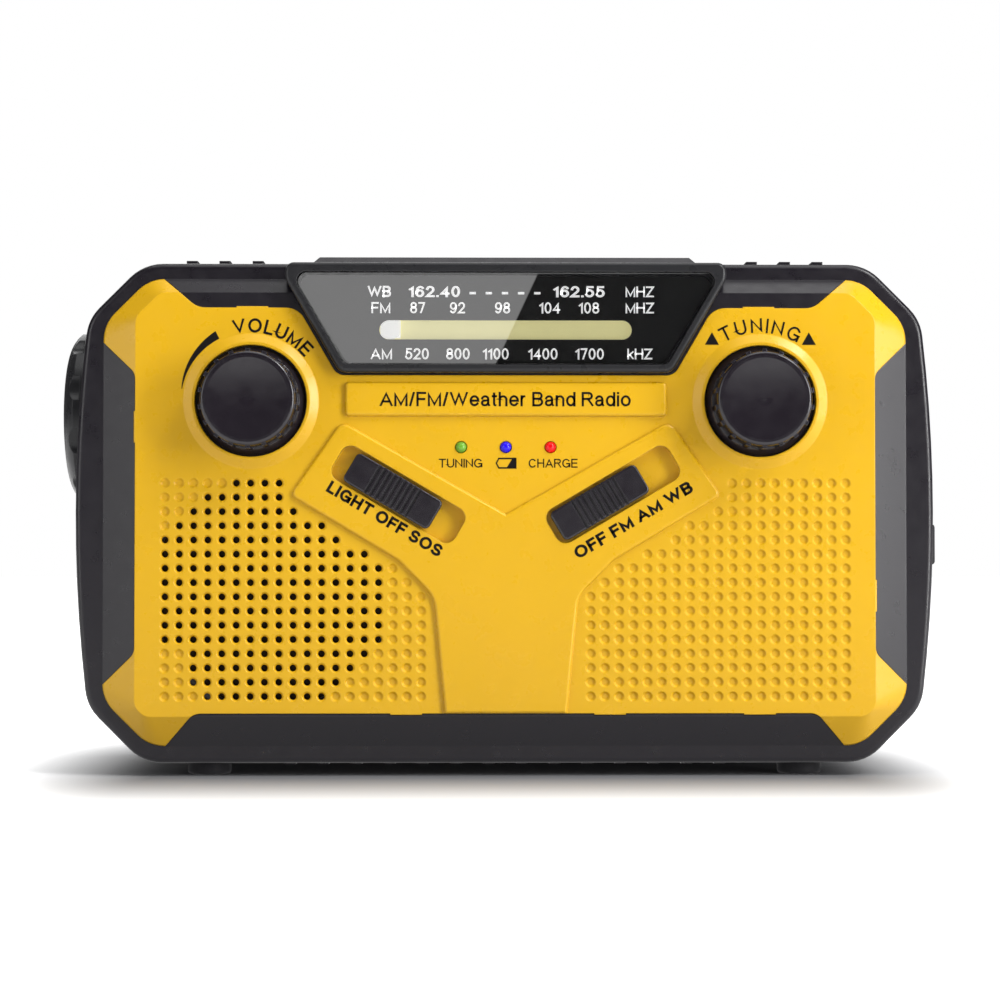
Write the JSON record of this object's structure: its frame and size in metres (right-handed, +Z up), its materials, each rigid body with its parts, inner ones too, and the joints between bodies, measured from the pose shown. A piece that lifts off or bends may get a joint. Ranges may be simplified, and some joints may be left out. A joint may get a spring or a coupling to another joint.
{
  "type": "portable radio",
  "caption": "Portable emergency band radio with slide-rule dial, side torch, top solar panel, hand crank, rod antenna and slanted slide switches.",
  "frame": {"origin": "centre of the footprint of the whole object, on the floor under its feet", "axes": "+X to the right seen from the front, +Y to the back, +Z up"},
  "size_m": [0.1704, 0.0688, 0.1006],
  "materials": {
    "yellow_plastic": "satin moulded ABS",
    "black_plastic": "fine-textured moulded ABS",
    "bezel_plastic": "smooth moulded ABS",
    "knob_plastic": "satin moulded ABS",
    "dial_black": "glossy printed sheet",
    "dial_cream": "cream sheet",
    "white_plastic": "acetal",
    "clear_plastic": "clear acrylic",
    "cord": "braided nylon",
    "green_lens": "clear green epoxy",
    "blue_lens": "clear blue epoxy",
    "red_lens": "clear red epoxy",
    "steel": "plated steel",
    "chrome": "bright plating",
    "ferrite": "sintered ferrite",
    "cloth": "black dust cloth",
    "paper": "pressed paper",
    "board": "solder-masked laminate",
    "component_body": "moulded component body",
    "solar_glass": "resin-covered silicon",
    "cell_wrap": "printed film",
    "rubber": "matt rubber"
  },
  "bodies": {
    "casing": {"front_cover": "yellow_plastic", "front_housing": "black_plastic", "rear_housing": "black_plastic", "dial_bezel": "bezel_plastic", "dial_window": "clear_plastic", "dial_plate": "dial_black", "dial_backing": "dial_cream", "dial_cord": "cord", "idler_pin": "steel", "tuning_capacitor": "component_body", "volume_potentiometer": "component_body", "slide_switches": "component_body", "speaker_cloth": "cloth", "speaker_frame": "steel", "speaker_cone": "paper", "speaker_magnet": "ferrite", "torch_bezel": "bezel_plastic", "torch_lens": "clear_plastic", "torch_reflector": "chrome", "torch_led": "board", "solar_frame": "black_plastic", "solar_cell": "solar_glass", "side_sockets": "steel", "circuit_board": "board", "ferrite_antenna": "ferrite", "rechargeable_battery": "cell_wrap", "battery_cells": "cell_wrap", "battery_contacts": "steel", "compound_axle": "steel", "generator": "steel", "gear_plate": "steel", "housing_screws": "steel", "rubber_feet": "rubber", "led_green": "green_lens", "led_blue": "blue_lens", "led_red": "red_lens"},
    "tuning_control": {"tuning_knob": "knob_plastic", "tuning_shaft": "steel", "dial_drum": "white_plastic"},
    "volume_control": {"volume_knob": "knob_plastic", "volume_shaft": "steel"},
    "pointer": {"dial_pointer": "white_plastic"},
    "idler": {"idler_pulley": "white_plastic"},
    "light_switch": {"light_switch_cap": "knob_plastic"},
    "band_switch": {"band_switch_cap": "knob_plastic"},
    "port_flap": {"port_cover": "rubber"},
    "door": {"battery_door": "black_plastic"},
    "crank": {"crank_gear": "white_plastic", "crank_shaft": "steel", "crank_arm": "knob_plastic", "crank_handle_pin": "steel"},
    "handle": {"crank_spindle": "steel"},
    "handle_grip": {"crank_knob": "knob_plastic"},
    "compound": {"compound_gear": "white_plastic"},
    "rotor": {"generator_pinion": "white_plastic"},
    "antenna_swivel_base": {"antenna_base": "steel"},
    "antenna_rod": {"antenna_tube": "chrome"},
    "antenna_stage_1": {"antenna_section_1": "chrome"},
    "antenna_stage_2": {"antenna_section_2": "chrome"},
    "antenna_stage_3": {"antenna_section_3": "chrome"}
  },
  "joints": [
    {"name": "tuning_turn", "type": "hinge", "parent": "casing", "child": "tuning_control", "pos_m": [0.04985, -0.0256, 0.0715], "axis": [0, 1, 0], "range_deg": [0, 180]},
    {"name": "pointer_travel", "type": "slide", "parent": "casing", "child": "pointer", "axis": [1, 0, 0], "range_m": [0, 0.044]},
    {"name": "idler_turn", "type": "hinge", "parent": "casing", "child": "idler", "pos_m": [-0.03655, -0.0192, 0.08251], "axis": [0, 1, 0], "range_deg": [0, 841]},
    {"name": "volume_turn", "type": "hinge", "parent": "casing", "child": "volume_control", "pos_m": [-0.04695, -0.0256, 0.0715], "axis": [0, 1, 0], "range_deg": [-150, 150]},
    {"name": "light_switch_slide", "type": "slide", "parent": "casing", "child": "light_switch", "axis": [0.8607, 0, -0.509], "range_m": [-0.002, 0.002]},
    {"name": "band_switch_slide", "type": "slide", "parent": "casing", "child": "band_switch", "axis": [0.8607, 0, 0.509], "range_m": [0, 0.006]},
    {"name": "port_cover_swing", "type": "hinge", "parent": "casing", "child": "port_flap", "pos_m": [0.08235, 0.0002, 0.044], "axis": [0, 0, 1], "range_deg": [0, 100]},
    {"name": "battery_door_swing", "type": "hinge", "parent": "casing", "child": "door", "pos_m": [0.05145, 0.0334, 0.0167], "axis": [-1, 0, 0], "range_deg": [0, 95]},
    {"name": "crank_turn", "type": "hinge", "parent": "casing", "child": "crank", "pos_m": [-0.02655, 0.0284, 0.048], "axis": [0, 1, 0], "continuous": true},
    {"name": "compound_turn", "type": "hinge", "parent": "casing", "child": "compound", "pos_m": [0.00345, 0.0144, 0.048], "axis": [0, 1, 0], "continuous": true},
    {"name": "rotor_turn", "type": "hinge", "parent": "casing", "child": "rotor", "pos_m": [0.01545, 0.0124, 0.02721], "axis": [0, 1, 0], "continuous": true},
    {"name": "handle_fold", "type": "hinge", "parent": "crank", "child": "handle", "pos_m": [0.00495, 0.0292, 0.048], "axis": [0, 0, -1], "range_deg": [0, 90]},
    {"name": "grip_spin", "type": "hinge", "parent": "handle", "child": "handle_grip", "pos_m": [-0.00355, 0.0292, 0.048], "axis": [1, 0, 0], "continuous": true},
    {"name": "antenna_swivel", "type": "hinge", "parent": "casing", "child": "antenna_swivel_base", "pos_m": [0.06345, 0.0298, 0.09], "axis": [0, 0, -1], "range_deg": [0, 180]},
    {"name": "antenna_tilt", "type": "hinge", "parent": "antenna_swivel_base", "child": "antenna_rod", "pos_m": [0.06345, 0.0298, 0.093], "axis": [0, 1, 0], "range_deg": [0, 90]},
    {"name": "antenna_stage_1_slide", "type": "slide", "parent": "antenna_rod", "child": "antenna_stage_1", "axis": [-1, 0, 0], "range_m": [0, 0.1]},
    {"name": "antenna_stage_2_slide", "type": "slide", "parent": "antenna_stage_1", "child": "antenna_stage_2", "axis": [-1, 0, 0], "range_m": [0, 0.1]},
    {"name": "antenna_stage_3_slide", "type": "slide", "parent": "antenna_stage_2", "child": "antenna_stage_3", "axis": [-1, 0, 0], "range_m": [0, 0.1]}
  ],
  "couplings": [
    {"joint": "pointer_travel", "follows": "tuning_turn", "m_per_rad": 0.014006},
    {"joint": "idler_turn", "follows": "tuning_turn", "ratio": 4.6685},
    {"joint": "compound_turn", "follows": "crank_turn", "ratio": -4},
    {"joint": "rotor_turn", "follows": "crank_turn", "ratio": 12}
  ]
}
